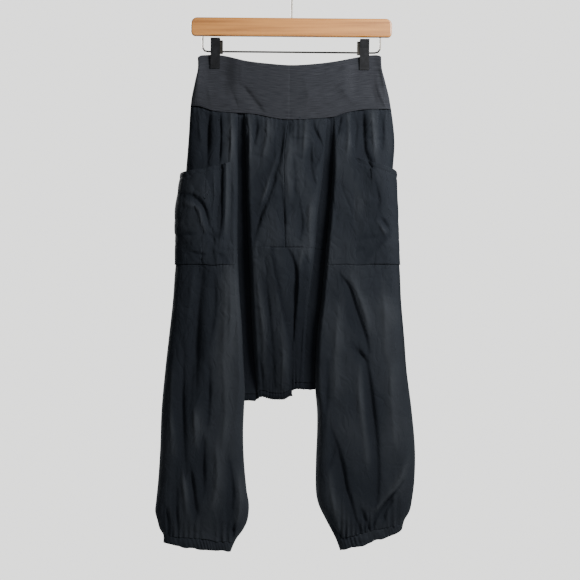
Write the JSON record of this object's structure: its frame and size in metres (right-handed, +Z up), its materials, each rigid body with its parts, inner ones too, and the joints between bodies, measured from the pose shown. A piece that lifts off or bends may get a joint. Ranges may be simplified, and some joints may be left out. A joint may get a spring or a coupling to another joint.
{
  "type": "harem pants on a clip hanger",
  "caption": "Drop-crotch harem pants with a wide knit waistband, patch pockets and elastic cuffs, clipped at the waist to a wooden hanger.",
  "frame": {"origin": "where the hook's bow bears on the rail that holds it, the inner top of the hook", "axes": "+Z up along the hanging garment, +X across it to the viewer's right, -Y out of its front"},
  "size_m": [0.4626, 0.0629, 1.0486],
  "materials": {
    "woven_cloth": "matte plain weave, blue-black",
    "waistband_knit": "matte heathered knit, charcoal",
    "hanger_wood": "clear satin varnish",
    "steel_wire": "dark satin steel",
    "clip_black": "satin black"
  },
  "bodies": {
    "root": {"hanger_bar": "hanger_wood", "hanger_hook": "steel_wire", "hanger_rod": "steel_wire", "clip_left_front": "clip_black", "clip_left_back": "clip_black", "clip_left_spring": "steel_wire", "clip_right_front": "clip_black", "clip_right_back": "clip_black", "clip_right_spring": "steel_wire", "waistband_front": "waistband_knit", "waistband_back": "waistband_knit", "upper_front_left": "woven_cloth", "upper_front_right": "woven_cloth", "upper_back_left": "woven_cloth", "upper_back_right": "woven_cloth", "pocket_left": "woven_cloth", "pocket_right": "woven_cloth", "crotch_front": "woven_cloth", "crotch_back": "woven_cloth", "crotch_casing": "woven_cloth", "leg_left_front": "woven_cloth", "leg_left_back": "woven_cloth", "leg_right_front": "woven_cloth", "leg_right_back": "woven_cloth", "cuff_left": "woven_cloth", "cuff_right": "woven_cloth"}
  },
  "joints": []
}
